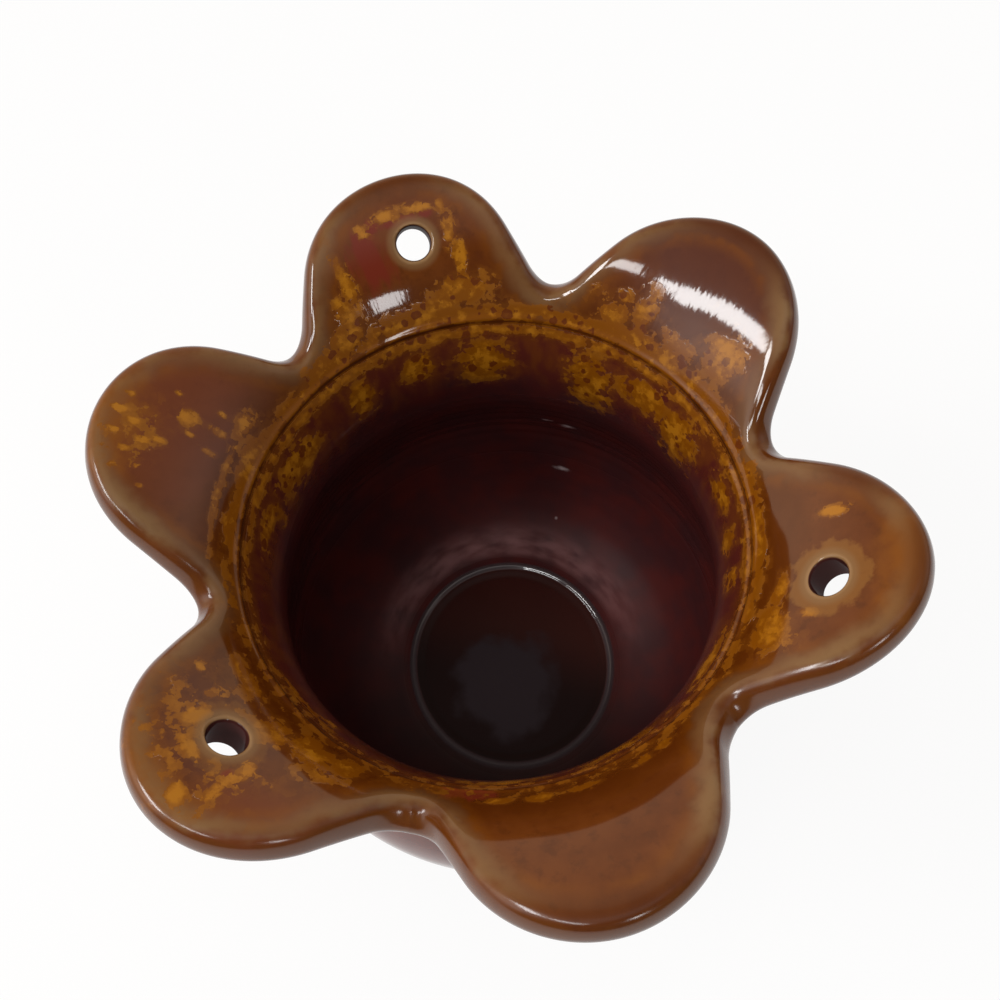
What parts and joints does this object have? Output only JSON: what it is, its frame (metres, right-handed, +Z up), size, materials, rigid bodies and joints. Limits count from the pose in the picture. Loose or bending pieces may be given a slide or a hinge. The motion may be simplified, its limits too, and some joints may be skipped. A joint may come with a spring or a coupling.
{
  "type": "hanging planter",
  "caption": "Glazed ceramic hanging planter: a round-bellied bowl on a foot ring, with a trumpet neck and a flower-shaped brim of broad petals, pierced for hanging cords.",
  "frame": {"origin": "Centre of the foot ring's underside, where the pot stands", "axes": "+Z up along the pot's axis; +Y through the middle of the rear pierced petal, so the plain petal opposite it faces -Y; +X to the right seen from the front"},
  "size_m": [0.1874, 0.2068, 0.143],
  "materials": {
    "glaze_brown": "glossy caramel-brown glaze with ochre flakes",
    "glaze_amber": "glossy amber glaze, streaked ochre and maroon",
    "glaze_plum": "glossy dark plum glaze, paler and mauve outside",
    "bare_clay": "unglazed buff clay"
  },
  "bodies": {
    "root": {"foot_ring": "bare_clay", "bowl_floor": "glaze_plum", "bowl_wall": "glaze_plum", "throat_collar": "glaze_amber", "plain_petal_front": "glaze_brown", "plain_petal_rear_left": "glaze_brown", "plain_petal_rear_right": "glaze_brown", "hanging_petal_rear": "glaze_brown", "hanging_petal_left": "glaze_brown", "hanging_petal_right": "glaze_brown"}
  },
  "joints": []
}
